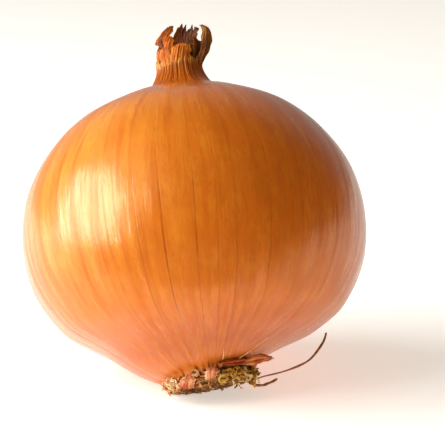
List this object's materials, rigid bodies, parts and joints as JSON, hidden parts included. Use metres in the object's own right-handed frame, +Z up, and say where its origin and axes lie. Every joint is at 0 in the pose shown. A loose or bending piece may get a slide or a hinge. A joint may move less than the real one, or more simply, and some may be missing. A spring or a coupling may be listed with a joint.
{
  "type": "onion",
  "caption": "Round brown onion in its glossy dry skin, with a withered neck, torn leaf tips and dry roots, lying tilted on its lower flank.",
  "frame": {"origin": "on the surface it lies on, in the flat resting spot, straight below the middle of the bulb", "axes": "+Z up from the surface; -Y is the front, where the root end shows; the onion's own axis leans 27.6 degrees from +Z, away from the front and slightly to -X"},
  "size_m": [0.0798, 0.0783, 0.0803],
  "materials": {
    "skin": "dry onion skin: thin, papery and glossy, golden brown with fine darker veins",
    "dry_leaf": "withered leaf: matt, fibrous, orange to dark brown",
    "root": "dry root: matt, corky, yellow to grey brown",
    "flake": "scrap of torn skin: papery, pinkish orange"
  },
  "bodies": {
    "root": {"bulb": "skin", "neck": "dry_leaf", "neck_leaf_left": "dry_leaf", "neck_leaf_back": "dry_leaf", "neck_leaf_right": "dry_leaf", "root_plate": "root", "root_long": "root", "root_short": "root", "root_01": "root", "root_02": "root", "root_03": "root", "root_04": "root", "root_05": "root", "root_06": "root", "root_07": "root", "root_08": "root", "skin_flake_left": "flake", "skin_flake_middle": "flake", "skin_lip_right": "flake"}
  },
  "joints": []
}
